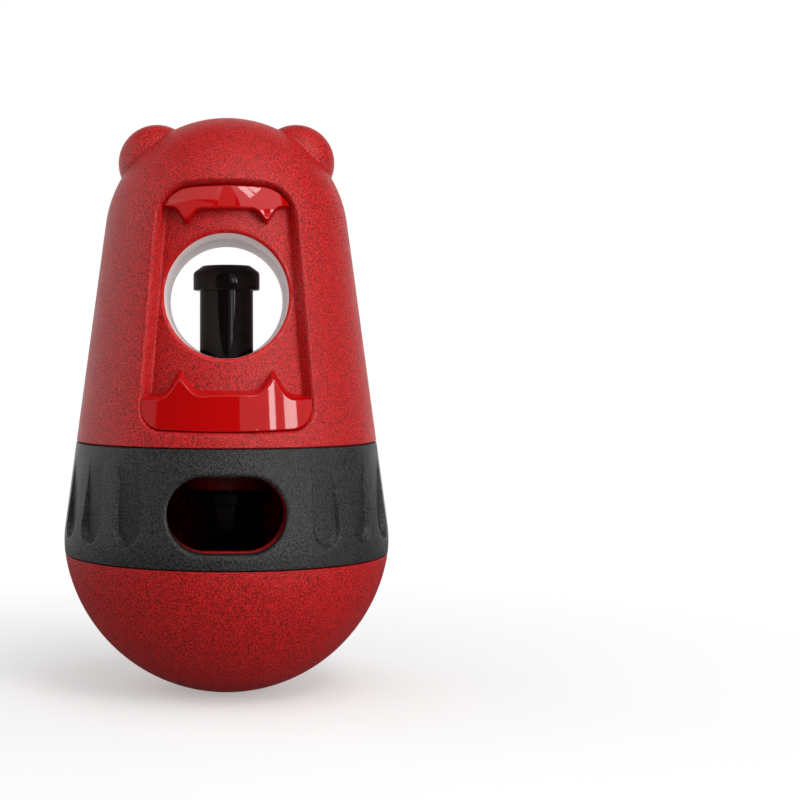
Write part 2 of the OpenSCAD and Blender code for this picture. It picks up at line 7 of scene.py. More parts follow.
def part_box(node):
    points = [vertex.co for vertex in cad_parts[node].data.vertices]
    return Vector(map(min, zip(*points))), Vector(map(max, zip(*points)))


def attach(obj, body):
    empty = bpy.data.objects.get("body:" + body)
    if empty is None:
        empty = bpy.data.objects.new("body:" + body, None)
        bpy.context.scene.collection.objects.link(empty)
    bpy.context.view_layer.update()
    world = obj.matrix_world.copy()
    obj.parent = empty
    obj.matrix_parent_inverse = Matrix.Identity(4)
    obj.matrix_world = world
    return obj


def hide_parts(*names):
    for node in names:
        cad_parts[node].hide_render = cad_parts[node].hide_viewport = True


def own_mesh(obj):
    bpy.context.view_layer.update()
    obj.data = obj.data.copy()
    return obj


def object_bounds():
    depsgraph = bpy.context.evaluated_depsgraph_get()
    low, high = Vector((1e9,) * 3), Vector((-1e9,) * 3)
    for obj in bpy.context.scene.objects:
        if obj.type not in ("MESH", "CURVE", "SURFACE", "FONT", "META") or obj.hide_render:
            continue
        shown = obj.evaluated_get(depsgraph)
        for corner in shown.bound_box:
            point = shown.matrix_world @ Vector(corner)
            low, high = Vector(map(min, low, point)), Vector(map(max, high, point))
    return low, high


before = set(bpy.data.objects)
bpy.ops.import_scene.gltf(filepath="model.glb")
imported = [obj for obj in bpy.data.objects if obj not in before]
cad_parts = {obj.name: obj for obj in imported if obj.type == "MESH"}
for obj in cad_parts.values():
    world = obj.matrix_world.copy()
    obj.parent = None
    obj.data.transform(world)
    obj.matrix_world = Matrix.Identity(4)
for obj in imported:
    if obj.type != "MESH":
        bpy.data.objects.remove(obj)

cadLow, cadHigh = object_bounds()  # the box around the frame's pieces, as imported; the box that the dressed part has to stay in
mm = 0.001
through = 60 * mm  # half the length of a cutter that goes right through the body
scene = bpy.context.scene
scene.view_settings.view_transform = "Standard"

# outline of the body: round bottom, belly blend, sloping side, dome
egg = dict(ballR=45 * mm, footR=8 * mm, footEdge=0.9, height=cadHigh.z, taper=radians(7.65),
           sideInset=0.8 * mm, bellyR=30 * mm)
ballR, bellyR, slope = egg["ballR"], egg["bellyR"], egg["taper"]
ballZ = sqrt(ballR ** 2 - egg["footR"] ** 2)
lineD = ballR - egg["sideInset"]
domeR = (lineD - (egg["height"] - ballZ) * sin(slope)) / (1 - sin(slope))
domeZ = egg["height"] - domeR
bellyDrop = sqrt((ballR - bellyR) ** 2 - (lineD - bellyR) ** 2)
bellyX = (lineD - bellyR) * cos(slope) + bellyDrop * sin(slope)
bellyZ = ballZ + (lineD - bellyR) * sin(slope) - bellyDrop * cos(slope)
bellyLow = atan2(bellyZ - ballZ, bellyX)


def eggRadius(z, inset=0.0):
    if z > domeZ + (domeR - inset) * sin(slope):
        return sqrt(max(0.0, (domeR - inset) ** 2 - (z - domeZ) ** 2))
    if z > bellyZ + (bellyR - inset) * sin(slope):
        return (lineD - inset - (z - ballZ) * sin(slope)) / cos(slope)
    if z > ballZ + (ballR - inset) * sin(bellyLow):
        return bellyX + sqrt((bellyR - inset) ** 2 - (z - bellyZ) ** 2)
    return sqrt(max(0.0, (ballR - inset) ** 2 - (z - ballZ) ** 2))


def eggFront(x, z, inset):
    return sqrt(max(0.0, eggRadius(z, inset) ** 2 - x * x))


def spread(low, high, step):
    count = max(1, round(abs(high - low) / step))
    return [low + (high - low) * i / count for i in range(count)]


def softMax(a, b, blend):
    near = max(blend - abs(a - b), 0.0) / blend
    return max(a, b) + near * near * blend / 4


def softMin(a, b, blend):
    return -softMax(-a, -b, blend)


def softStart(t, half):
    if t < -half:
        return 0.0
    return t if t > half else (t + half) ** 2 / (4 * half)


def roundEdge(away, radius):
    # how far a rounded edge falls back at a distance from its cut
    if away >= radius:
        return 0.0
    return radius - sqrt(radius ** 2 - (radius - max(away, 0.0)) ** 2)


# meshes: a lathe, a prism along Y, cutters and the last steps that all pieces share
weld = dict(near=0.0005 * mm, tiny=0.0001 * mm)


def lathe(points, steps=160, closed=True, sectors=None):
    bm = bmesh.new()
    for start, sweep, count in sectors or [(0.0, 2 * pi, steps)]:
        chain = [bm.verts.new((r * cos(start), r * sin(start), z)) for r, z in points]
        edges = [bm.edges.new(pair) for pair in zip(chain, chain[1:])]
        if closed:
            edges.append(bm.edges.new((chain[-1], chain[0])))
        bmesh.ops.spin(bm, geom=chain + edges, cent=(0, 0, 0), axis=(0, 0, 1), dvec=(0, 0, 0), angle=sweep,
                       steps=count, use_merge=sectors is None, use_normal_flip=False, use_duplicate=False)
    bmesh.ops.remove_doubles(bm, verts=bm.verts, dist=weld["near"])
    bmesh.ops.dissolve_degenerate(bm, edges=bm.edges, dist=weld["tiny"])
    bmesh.ops.recalc_face_normals(bm, faces=bm.faces)
    return bm


def prism(outline, yNear, yFar):
    bm = bmesh.new()
    face = bm.faces.new([bm.verts.new((x, yNear, z)) for x, z in outline])
    side = bmesh.ops.extrude_face_region(bm, geom=[face])
    far = [v for v in side["geom"] if isinstance(v, bmesh.types.BMVert)]
    bmesh.ops.translate(bm, vec=(0, yFar - yNear, 0), verts=far)
    bmesh.ops.recalc_face_normals(bm, faces=bm.faces)
    return bm


def rod(radius, low, high, along="Z", at=(0, 0), segments=96):
    bm = bmesh.new()
    bmesh.ops.create_cone(bm, cap_ends=True, segments=segments, radius1=radius, radius2=radius,
                          depth=high - low)
    bmesh.ops.translate(bm, vec=(0, 0, (low + high) / 2), verts=bm.verts)
    if along == "Y":
        bmesh.ops.rotate(bm, cent=(0, 0, 0), matrix=Matrix.Rotation(-pi / 2, 3, "X"), verts=bm.verts)
        bmesh.ops.translate(bm, vec=(at[0], 0, at[1]), verts=bm.verts)
    else:
        bmesh.ops.translate(bm, vec=(at[0], at[1], 0), verts=bm.verts)
    return bm


def stadium(width, height, middle, shift=0.0, arcSteps=32):
    r, half = height / 2, (width - height) / 2
    arc = spread(-pi / 2, pi / 2, pi / arcSteps) + [pi / 2]
    right = [(half + r * cos(a), r * sin(a)) for a in arc]
    return [(x + shift, middle + z) for x, z in right] + [(shift - x, middle - z) for x, z in right]


def toObject(bm, name):
    mesh = bpy.data.meshes.new(name)
    bm.to_mesh(mesh)
    bm.free()
    obj = bpy.data.objects.new(name, mesh)
    scene.collection.objects.link(obj)
    return obj


def carve(obj, cutters, operation="DIFFERENCE"):
    tools = [toObject(bm, "cutter") for bm in cutters]
    for tool in tools:
        cut = obj.modifiers.new("cut", "BOOLEAN")
        cut.object, cut.operation, cut.solver = tool, operation, "EXACT"
    shaped = bpy.data.meshes.new_from_object(obj.evaluated_get(bpy.context.evaluated_depsgraph_get()))
    obj.modifiers.clear()
    plain = obj.data
    obj.data = shaped
    bpy.data.meshes.remove(plain)
    for tool in tools:
        bpy.data.meshes.remove(tool.data)
    shaped.name = obj.name
    return obj


def toBmesh(obj):
    bm = bmesh.new()
    bm.from_mesh(obj.data)
    bpy.data.meshes.remove(obj.data)
    return bm


def dress(obj, body, looks, nodes, crease=32):
    obj.data.materials.clear()
    for look in looks:
        obj.data.materials.append(look)
    obj.data.shade_smooth()
    obj.data.set_sharp_from_angle(angle=radians(crease))
    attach(obj, body)
    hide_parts(*nodes)
    print("  made", obj.name, len(obj.data.polygons), "faces")
    return obj


# finishes
def toLinear(*levels):
    return tuple(c / 255 / 12.92 if c <= 10 else ((c / 255 + 0.055) / 1.055) ** 2.4 for c in levels) + (1.0,)


def newLook(name):
    look = bpy.data.materials.new(name)
    look.use_nodes = True
    nodes, links = look.node_tree.nodes, look.node_tree.links
    return look, nodes, links, nodes["Principled BSDF"], nodes.new("ShaderNodeTexCoord").outputs["Object"]


def noiseNode(nodes, links, where, scale, detail, rough=0.5):
    noise = nodes.new("ShaderNodeTexNoise")
    noise.inputs["Scale"].default_value = scale
    noise.inputs["Detail"].default_value = detail
    noise.inputs["Roughness"].default_value = rough
    links.new(where, noise.inputs["Vector"])
    return noise.outputs["Fac"]


def between(nodes, links, fac, low, high, fromLow=0.3, fromHigh=0.7):
    step = nodes.new("ShaderNodeMapRange")
    step.inputs["From Min"].default_value, step.inputs["From Max"].default_value = fromLow, fromHigh
    step.inputs["To Min"].default_value, step.inputs["To Max"].default_value = low, high
    links.new(fac, step.inputs["Value"])
    return step.outputs["Result"]


def tint(nodes, links, fac, dark, pale):
    mix = nodes.new("ShaderNodeMix")
    mix.data_type = "RGBA"
    mix.inputs["A"].default_value, mix.inputs["B"].default_value = dark, pale
    links.new(fac, mix.inputs["Factor"])
    return mix.outputs["Result"]


def bumpNode(nodes, links, height, strength, depth, after=None):
    bump = nodes.new("ShaderNodeBump")
    bump.inputs["Strength"].default_value = strength
    bump.inputs["Distance"].default_value = depth
    links.new(height, bump.inputs["Height"])
    if after:
        links.new(after, bump.inputs["Normal"])
    return bump.outputs["Normal"]


# a blasted surface: grain, whose pale specks in the colour also stand in as painted sparkle of light where
# dark and pale lie far apart, a finer grain on it, and a slow change in its gloss
blast = dict(detail=3.0, rough=0.55, dark=0.4, pale=0.6, fine=3.1, fineDetail=1.0, fineLift=0.6,
             fineDepth=0.25, mottle=0.06, mottleDetail=2.0, swing=0.03)
# a polished surface: a slow ripple, and dust in its colour and gloss
polish = dict(ripple=9 * mm, rippleDetail=1.0, lift=0.35, depth=0.012 * mm, dust=6, dustDetail=4.0,
              dustRough=0.6, speck=0.94, clean=0.8, dull=1.25)
# a metal surface: pits in its colour, gloss and form
pitted = dict(detail=5.0, rough=0.6, swing=0.08, lift=0.6)


def blastedPlastic(name, dark, pale, rough, grain, depth, spec=0.5):
    look, nodes, links, shader, where = newLook(name)
    coarse = noiseNode(nodes, links, where, 1 / grain, blast["detail"], blast["rough"])
    fine = noiseNode(nodes, links, where, blast["fine"] / grain, blast["fineDetail"])
    mottle = noiseNode(nodes, links, where, blast["mottle"] / grain, blast["mottleDetail"])
    speckle = between(nodes, links, coarse, 0.0, 1.0, blast["dark"], blast["pale"])
    links.new(tint(nodes, links, speckle, dark, pale), shader.inputs["Base Color"])
    gloss = between(nodes, links, mottle, rough - blast["swing"], rough + blast["swing"])
    links.new(gloss, shader.inputs["Roughness"])
    base = bumpNode(nodes, links, coarse, 1.0, depth)
    relief = bumpNode(nodes, links, fine, blast["fineLift"], depth * blast["fineDepth"], base)
    links.new(relief, shader.inputs["Normal"])
    shader.inputs["Specular IOR Level"].default_value = spec
    return look


def polishedPlastic(name, colour, rough, spec):
    look, nodes, links, shader, where = newLook(name)
    wave = noiseNode(nodes, links, where, 1 / polish["ripple"], polish["rippleDetail"])
    dust = noiseNode(nodes, links, where, polish["dust"] / polish["ripple"], polish["dustDetail"],
                     polish["dustRough"])
    shade = tuple(c * polish["speck"] for c in colour[:3]) + (1.0,)
    speckle = between(nodes, links, dust, 0.0, 1.0)
    links.new(tint(nodes, links, speckle, shade, colour), shader.inputs["Base Color"])
    gloss = between(nodes, links, dust, rough * polish["clean"], rough * polish["dull"])
    links.new(gloss, shader.inputs["Roughness"])
    links.new(bumpNode(nodes, links, wave, polish["lift"], polish["depth"]), shader.inputs["Normal"])
    shader.inputs["Specular IOR Level"].default_value = spec
    return look


def metal(name, dark, pale, rough, grain, depth):
    look, nodes, links, shader, where = newLook(name)
    pit = noiseNode(nodes, links, where, 1 / grain, pitted["detail"], pitted["rough"])
    speckle = between(nodes, links, pit, 0.0, 1.0)
    links.new(tint(nodes, links, speckle, dark, pale), shader.inputs["Base Color"])
    gloss = between(nodes, links, pit, rough - pitted["swing"], rough + pitted["swing"])
    links.new(gloss, shader.inputs["Roughness"])
    links.new(bumpNode(nodes, links, pit, pitted["lift"], depth), shader.inputs["Normal"])
    shader.inputs["Metallic"].default_value = 1.0
    return look


# the pale specks of these two grains are partly the plastic's grain and partly painted sparkle of light on it
redGrain = blastedPlastic("redBlastedPlastic", toLinear(118, 4, 5), toLinear(212, 20, 21), rough=0.36,
                          grain=0.42 * mm, depth=0.26 * mm, spec=0.38)
blackGrain = blastedPlastic("blackBlastedPlastic", toLinear(1, 1, 1), toLinear(54, 54, 54), rough=0.33,
                            grain=0.42 * mm, depth=0.28 * mm, spec=0.4)
redGloss = polishedPlastic("redPolishedPlastic", toLinear(176, 2, 3), rough=0.05, spec=0.45)
blackGloss = polishedPlastic("blackPolishedPlastic", toLinear(17, 11, 11), rough=0.12, spec=0.22)
# painted shade: a darker copy of the body's red for the stem tube, which lies in shade inside the outlet
redPaintedShade = blastedPlastic("redPlasticPaintedShade", toLinear(84, 3, 4), toLinear(150, 10, 11), rough=0.5,
                          grain=0.5 * mm, depth=0.1 * mm, spec=0.3)
redRim = polishedPlastic("redRimPlastic", toLinear(186, 5, 6), rough=0.3, spec=0.4)
linerSatin = blastedPlastic("whiteSatinPlastic", toLinear(240, 222, 222), toLinear(245, 229, 229), rough=0.4,
                            grain=0.5 * mm, depth=0.006 * mm)
sealRubber = blastedPlastic("blackSealRubber", toLinear(18, 18, 18), toLinear(30, 30, 30), rough=0.6,
                            grain=0.3 * mm, depth=0.01 * mm)
castIron = metal("greyCastIron", toLinear(70, 70, 72), toLinear(112, 112, 114), rough=0.55,
                 grain=0.9 * mm, depth=0.05 * mm)
screwSteel = metal("brightScrewSteel", toLinear(170, 170, 174), toLinear(205, 205, 208), rough=0.28,
                   grain=0.4 * mm, depth=0.004 * mm)
print("finishes made")

# heights that the frame gives
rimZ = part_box("base_bowl")[1].z
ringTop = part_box("grip_ring")[1].z
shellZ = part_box("upper_shell")[0].z
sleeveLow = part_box("outlet_sleeve")[0].z
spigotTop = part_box("outlet_sleeve")[1].z
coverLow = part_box("weight_cover")[0].z
seam = shellZ - ringTop
ringZ = rimZ + seam

# ring with flutes, stop lug and outlet; the sleeve's radius follows from the ring's wall at its upper edge
ring = dict(wall=3.05 * mm, run=0.35 * mm, keeperW=1.8 * mm, keeperT=2.2 * mm, socketGap=0.05 * mm,
            edge=0.18 * mm, steps=840, rowStep=0.45 * mm)
flute = dict(places=20, first=2, half=4.5 * mm, halfTop=3.5 * mm, depth=1.5 * mm, lift=5 * mm,
             length=20.8 * mm, lean=0.55, soft=0.3 * mm)
lug = dict(at=90, inset=1.8 * mm, thick=2 * mm, half=4, height=1.8 * mm, root=1 * mm, gap=0.4 * mm,
           slotTop=5 * mm, spare=2, turn=55)
outlet = dict(width=30.6 * mm, height=19.5 * mm, middle=51.3 * mm, lip=0.12 * mm, shift=-0.5 * mm,
              edge=1.0 * mm, reach=(-60 * mm, -20 * mm))
ringBore = eggRadius(ringTop) - ring["wall"]
sleeveR = ringBore - ring["run"]
socketR = sleeveR + ring["socketGap"]
keeperLow = ringTop - ring["keeperT"]
rebateZ = keeperLow - ring["run"]
rebateR = sleeveR + ring["keeperW"] + ring["run"]


def ovalGap(x, z):
    half = (outlet["width"] - outlet["height"]) / 2
    return hypot(max(abs(x) - half, 0.0), z - outlet["middle"]) - outlet["height"] / 2


def fluteCut(across, z):
    # depth of the pocket under the skin: a flat floor inside leaning walls
    low = ringZ + flute["lift"]
    z0, z1 = low + flute["half"], low + flute["length"]
    r0, r1 = eggRadius(z0) - flute["depth"], eggRadius(z1)
    floor = eggRadius(z) - r0 - (r1 - r0) * (z - z0) / (z1 - z0)
    narrow = flute["half"] + (flute["halfTop"] - flute["half"]) * (z - z0) / (z1 - z0)
    inside = flute["half"] - hypot(across, z - z0) if z < z0 else narrow - abs(across)
    return softMax(softMin(floor, inside / flute["lean"], flute["soft"]), 0.0, flute["soft"])


def sectorBar(rIn, rOut, z0, z1, start, sweep):
    bm = bmesh.new()
    a = radians(start)
    corners = ((rIn, z0), (rOut, z0), (rOut, z1), (rIn, z1))
    loop = [bm.verts.new((r * cos(a), r * sin(a), z)) for r, z in corners]
    edges = [bm.edges.new((loop[i], loop[(i + 1) % 4])) for i in range(4)]
    bmesh.ops.spin(bm, geom=loop + edges, cent=(0, 0, 0), axis=(0, 0, 1), dvec=(0, 0, 0),
                   angle=radians(sweep), steps=max(4, round(sweep / 2)), use_merge=False,
                   use_normal_flip=False, use_duplicate=False)
    bmesh.ops.holes_fill(bm, edges=bm.edges, sides=4)
    bmesh.ops.recalc_face_normals(bm, faces=bm.faces)
    return bm


def makeRing():
    edge = ring["edge"]
    rows = spread(ringZ + edge, ringTop - edge, ring["rowStep"]) + [ringTop - edge]
    outer = [(eggRadius(z), z) for z in rows]
    inner = [(eggRadius(ringTop) - edge, ringTop), (rebateR, ringTop), (rebateR, rebateZ),
             (ringBore, rebateZ), (ringBore, ringZ), (eggRadius(ringZ) - edge, ringZ)]
    bm = lathe(outer + inner, ring["steps"])
    pitch = 2 * pi / flute["places"]
    for v in bm.verts:
        x, y, z = v.co
        r = hypot(x, y)
        if r < eggRadius(z) - 0.5 * edge or z > ringTop - 0.5 * edge or z < ringZ + 0.5 * edge:
            continue
        angle = atan2(x, -y)  # from the front, round to the right
        place = round(angle / pitch)
        cut = 0.0
        if abs(place) >= flute["first"]:
            cut = fluteCut(r * sin(angle - place * pitch), z)
        if y < 0:
            cut += roundEdge(ovalGap(x, z), outlet["edge"])
        v.co.xy *= (r - cut) / r
    oval = stadium(outlet["width"], outlet["height"], outlet["middle"])
    obj = carve(toObject(bm, "gripRing"), [prism(oval, *outlet["reach"])])
    lugIn = socketR + lug["inset"]
    stop = sectorBar(lugIn, lugIn + lug["thick"], ringZ - lug["height"], ringZ + lug["root"],
                     lug["at"] - lug["half"], 2 * lug["half"])
    carve(obj, [stop], "UNION")
    dress(obj, "ring", [blackGrain], ["grip_ring"])


makeRing()

# bowl
bowl = dict(wall=2.6 * mm, padR=10 * mm, padH=4.2 * mm, ledge=1.6 * mm, edge=0.18 * mm, steps=240,
            arcStep=radians(1.2), rowStep=0.8 * mm, liningStep=1.5 * mm, bossStep=1 * mm, bossSteps=120)
screws = dict(count=3, first=pi / 2, coverIn=4 * mm, coverR=1.5 * mm, coverHoleR=1.7 * mm, bossR=3.2 * mm,
              bite=5.5 * mm, tabR=3.5 * mm, tabW=6.4 * mm, tabT=2.4 * mm, tabStep=pi / 24,
              housingAt=14 * mm, housingHoleR=1.45 * mm, segments=36)
sleeve = dict(wall=3 * mm, socketWall=2.3 * mm, spigotGap=0.3 * mm, sealD=1.6 * mm, sealPlay=0.1 * mm,
              sealGap=0.06 * mm, sealStep=pi / 8, ringSealDrop=1.9 * mm, edge=0.25 * mm, steps=240)
sleeveIn = sleeveR - sleeve["wall"]
coverAt = sleeveIn - screws["coverIn"]
screwAngles = [screws["first"] + 2 * pi * i / screws["count"] for i in range(screws["count"])]


def screwRods(away, r, low, high):
    places = [(away * cos(a), away * sin(a)) for a in screwAngles]
    return [rod(r, low, high, at=place, segments=screws["segments"]) for place in places]


def bowlBosses():
    # bosses for the cover screws, trimmed to the middle of the bowl's wall
    inset = bowl["wall"] / 2
    low = ballZ - ballR + inset
    rows = spread(low, coverLow, bowl["bossStep"]) + [coverLow]
    points = [(eggRadius(z, inset), z) for z in rows] + [(0.0, coverLow)]
    bosses = []
    for cutter in screwRods(coverAt, screws["bossR"], 0.0, coverLow):
        solid = toObject(lathe(points, bowl["bossSteps"], closed=False), "boss")
        bosses.append(toBmesh(carve(solid, [cutter], "INTERSECT")))
    return bosses


def makeBowl():
    edge, wall = bowl["edge"], bowl["wall"]
    footA = -pi / 2 + atan2(egg["footR"], ballZ)
    arc = spread(footA, bellyLow, bowl["arcStep"])
    outer = [(0.0, 0.0), (egg["footR"] * egg["footEdge"], 0.0)]
    outer += [(ballR * cos(a), ballZ + ballR * sin(a)) for a in arc[1:]]
    belly = spread(ballZ + ballR * sin(bellyLow), rimZ - edge, bowl["rowStep"])
    outer += [(eggRadius(z), z) for z in belly if z < rimZ - edge]
    outer += [(eggRadius(rimZ - edge), rimZ - edge), (eggRadius(rimZ) - edge, rimZ)]
    ledgeR = socketR - bowl["ledge"]
    inner = [(socketR, rimZ), (socketR, sleeveLow), (ledgeR, sleeveLow), (ledgeR, coverLow)]
    lining = [(eggRadius(z, wall), z) for z in spread(coverLow, bowl["padH"], bowl["liningStep"])]
    inner += [(r, z) for r, z in lining if r > bowl["padR"]]
    inner += [(bowl["padR"], bowl["padH"]), (0.0, bowl["padH"])]
    obj = toObject(lathe(outer + inner, bowl["steps"], closed=False), "baseBowl")
    lugIn = socketR + lug["inset"] - lug["gap"]
    half = lug["half"] + lug["spare"]
    slot = sectorBar(lugIn, lugIn + lug["thick"] + 2 * lug["gap"], ringZ - lug["height"] - lug["gap"],
                     ringZ + lug["slotTop"], lug["at"] - half, lug["turn"] + 2 * half)
    carve(obj, bowlBosses(), "UNION")
    bores = screwRods(coverAt, screws["coverR"], coverLow - screws["bite"], rimZ)
    dress(carve(obj, [slot] + bores), "base", [redGrain], ["base_bowl"])


makeBowl()

# sleeve inside the ring
shellSocketR = eggRadius(shellZ) - sleeve["socketWall"]
spigotR = shellSocketR - sleeve["spigotGap"]
ringSealZ = keeperLow - sleeve["ringSealDrop"]
shellSealZ = (shellZ + spigotTop) / 2


def grooved(r, z):
    half = sleeve["sealD"] / 2 + sleeve["sealPlay"]
    deep = r - sleeve["sealD"] + sleeve["sealPlay"]
    return [(r, z - half), (deep, z - half), (deep, z + half), (r, z + half)]


def screwTab(angle):
    # lug under a cover screw: a bar out of the sleeve with a round inner end
    r, half, out = screws["tabR"], screws["tabW"] / 2, sleeveR - sleeve["wall"] / 2
    start = asin(half / r)
    arc = spread(start, 2 * pi - start, screws["tabStep"])
    outline = [(coverAt + r * cos(a), r * sin(a)) for a in arc]
    bm = prism(outline + [(out, -half), (out, half)], sleeveLow, sleeveLow + screws["tabT"])
    turned = Matrix.Rotation(angle, 3, "Z") @ Matrix.Rotation(pi / 2, 3, "X")
    bmesh.ops.rotate(bm, cent=(0, 0, 0), matrix=turned, verts=bm.verts)
    return bm


def makeSleeve():
    e = sleeve["edge"]
    keeperR = sleeveR + ring["keeperW"]
    points = [(sleeveIn, sleeveLow), (sleeveR, sleeveLow)] + grooved(sleeveR, ringSealZ)
    points += [(sleeveR, keeperLow), (keeperR - e, keeperLow), (keeperR, keeperLow + e),
               (keeperR, ringTop - e), (keeperR - e, ringTop), (spigotR, ringTop)]
    points += grooved(spigotR, shellSealZ)
    points += [(spigotR, spigotTop - e), (spigotR - e, spigotTop), (sleeveIn + e, spigotTop),
               (sleeveIn, spigotTop - e)]
    obj = toObject(lathe(points, sleeve["steps"]), "outletSleeve")
    lips = 2 * outlet["lip"]
    oval = stadium(outlet["width"] - lips, outlet["height"] - lips, outlet["middle"], outlet["shift"])
    carve(obj, [screwTab(a) for a in screwAngles], "UNION")
    holes = screwRods(coverAt, screws["coverHoleR"], 0.0, ringZ)
    carve(obj, [prism(oval, *outlet["reach"])] + holes)
    dress(obj, "base", [redGrain], ["outlet_sleeve"])


def makeSeal(name, node, bore, z):
    r = sleeve["sealD"] / 2
    middle = bore - sleeve["sealGap"] - r
    loop = [(middle + r * cos(a), z + r * sin(a)) for a in spread(0, 2 * pi, sleeve["sealStep"])]
    obj = toObject(lathe(loop, sleeve["steps"]), name)
    dress(obj, "base", [sealRubber], [node], crease=60)


makeSleeve()
makeSeal("ringSeal", "ring_seal", ringBore, ringSealZ)
makeSeal("shellSeal", "shell_seal", shellSocketR, shellSealZ)

# upper shell: one skin with the recess, the window's rim and the ears worked into it
shell = dict(wall=2.8 * mm, edge=0.2 * mm, earR=10.7 * mm, earAngle=radians(47.9), earSink=5 * mm,
             earRound=96, earRows=64, domeGap=2.4 * mm, liningStep=2.2 * mm, liningRise=4 * mm,
             crownStep=radians(1.0), liningTurn=radians(6), faceHalf=radians(46), faceSteps=164, sideSteps=70,
             facing=0.35, onSkin=0.02 * mm, onLining=0.05 * mm, liningLow=0.5 * mm)
recess = dict(rise=4.4 * mm, top=136.2 * mm, halfLow=23 * mm, halfTop=18 * mm, cornerLow=5.5 * mm,
              cornerTop=9 * mm, depth=4.2 * mm, bowLow=0.7 * mm, bowTop=1.2 * mm, backing=2.4 * mm,
              sideW=2.7 * mm, topW=2.3 * mm, lowW=1.1 * mm, rimSoft=0.75 * mm, floorSoft=0.35 * mm,
              rimShare=0.6, topRoom=4 * mm, lowUnder=1 * mm, lowOver=2.6 * mm)
window = dict(r=16.4 * mm, middle=107.3 * mm, rim=1.0 * mm, rimShare=0.9, rimRows=2 * mm, cutSteps=160,
              tunnelWall=1.6 * mm, linerWall=0.7 * mm, linerGap=0.05 * mm, hide=0.02 * mm, lip=1 * mm,
              passR=9.8 * mm, passLow=60 * mm, tubeWall=1.8 * mm, tubeGap=0.05 * mm, tubeOver=1 * mm,
              tubeSteps=128, steps=144, rows=24, plugIn=0.95)
recessLow = shellZ + recess["rise"]
linerR = window["r"] + window["linerWall"]
seatR = linerR + window["linerGap"]


def recessBow(x, z):
    if z < window["middle"]:
        return -recess["bowLow"] * max(0.0, 1 - (x / recess["halfLow"]) ** 2)
    return recess["bowTop"] * max(0.0, 1 - (x / recess["halfTop"]) ** 2)


def recessInside(x, z, grow=0.0):
    # distance inside the recess outline, and how much of it is side, top or bottom wall
    a, b = recess["halfLow"] + grow, recess["halfTop"] + grow
    z0, z1 = recessLow - grow, recess["top"] + grow
    rise, run = z1 - z0, a - b
    size = hypot(rise, run)
    nx, nz = rise / size, run / size
    x = abs(x)
    z -= recessBow(x, z)
    side = (x - a) * nx + (z - z0) * nz
    lowR, topR = recess["cornerLow"] + grow, recess["cornerTop"] + grow
    for r, cz, up in ((lowR, z0 + lowR, -1), (topR, z1 - topR, 1)):
        cx = a - (r + (cz - z0) * nz) / nx
        dx, dz = x - cx, z - cz
        if dx > 0 and up * (dz * nx - dx * nz) > 0:
            away = hypot(dx, dz)
            return r - away, dx / away, dz / away
    return min((-side, nx, nz), (z - z0, 0.0, -1.0), (z1 - z, 0.0, 1.0))


def recessInset(x, z):
    t, nx, nz = recessInside(x, z)
    if t < -recess["rimSoft"]:
        return 0.0
    w = recess["sideW"] * nx * nx + (recess["topW"] if nz > 0 else recess["lowW"]) * nz * nz
    rim = min(recess["rimSoft"], w * recess["rimShare"])
    fall = (softStart(t, rim) - softStart(t - w, recess["floorSoft"])) / w
    return recess["depth"] * fall


def makeEar(side):
    # ball on the dome, hollowed to the middle of the shell's wall
    reach, steep = domeR - shell["earSink"], shell["earAngle"]
    around, rows = shell["earRound"], shell["earRows"]
    ball, hollow = bmesh.new(), bmesh.new()
    bmesh.ops.create_uvsphere(ball, u_segments=around, v_segments=rows, radius=shell["earR"])
    lean = Matrix.Rotation(side * (pi / 2 - steep), 3, "Y")
    bmesh.ops.rotate(ball, cent=(0, 0, 0), matrix=lean, verts=ball.verts)
    place = (side * reach * cos(steep), 0, domeZ + reach * sin(steep))
    bmesh.ops.translate(ball, vec=place, verts=ball.verts)
    bmesh.ops.create_uvsphere(hollow, u_segments=around, v_segments=rows, radius=domeR - shell["wall"] / 2)
    bmesh.ops.translate(hollow, vec=(0, 0, domeZ), verts=hollow.verts)
    return toBmesh(carve(toObject(ball, "ear"), [hollow]))


def shellSkin():
    # the outer skin's profile, with finer rows at the edges of the recess and the window
    e, near = shell["edge"], window["rimRows"]
    w0, w1 = window["middle"] - window["r"], window["middle"] + window["r"]
    domeStart = recess["top"] + shell["domeGap"]
    marks = [shellZ + e, recessLow - recess["lowUnder"], recessLow + recess["lowOver"], w0 - near, w0 + near,
             w1 - near, w1 + near, recess["top"] - recess["topRoom"], domeStart]
    steps = [0.9 * mm, 0.36 * mm, 1.1 * mm, 0.4 * mm, 0.9 * mm, 0.4 * mm, 0.9 * mm, 0.4 * mm]
    heights = [z for low, high, step in zip(marks, marks[1:], steps) for z in spread(low, high, step)]
    skin = [(eggRadius(shellZ) - e, shellZ)] + [(eggRadius(z), z) for z in heights]
    crown = spread(atan2(domeStart - domeZ, eggRadius(domeStart)), pi / 2, shell["crownStep"])
    return skin + [(domeR * cos(a), domeZ + domeR * sin(a)) for a in crown] + [(0.0, egg["height"])]


def shellLining(socketTop):
    wall, rise = shell["wall"], shell["liningRise"]
    inR = domeR - wall
    lining = [(eggRadius(z, wall), z) for z in spread(socketTop, domeZ + rise, shell["liningStep"])]
    inDome = spread(atan2(rise, inR), pi / 2, shell["liningTurn"])
    lining += [(inR * cos(a), domeZ + inR * sin(a)) for a in inDome]
    return [(shellSocketR, shellZ), (shellSocketR, socketTop)] + lining + [(0.0, egg["height"] - wall)]


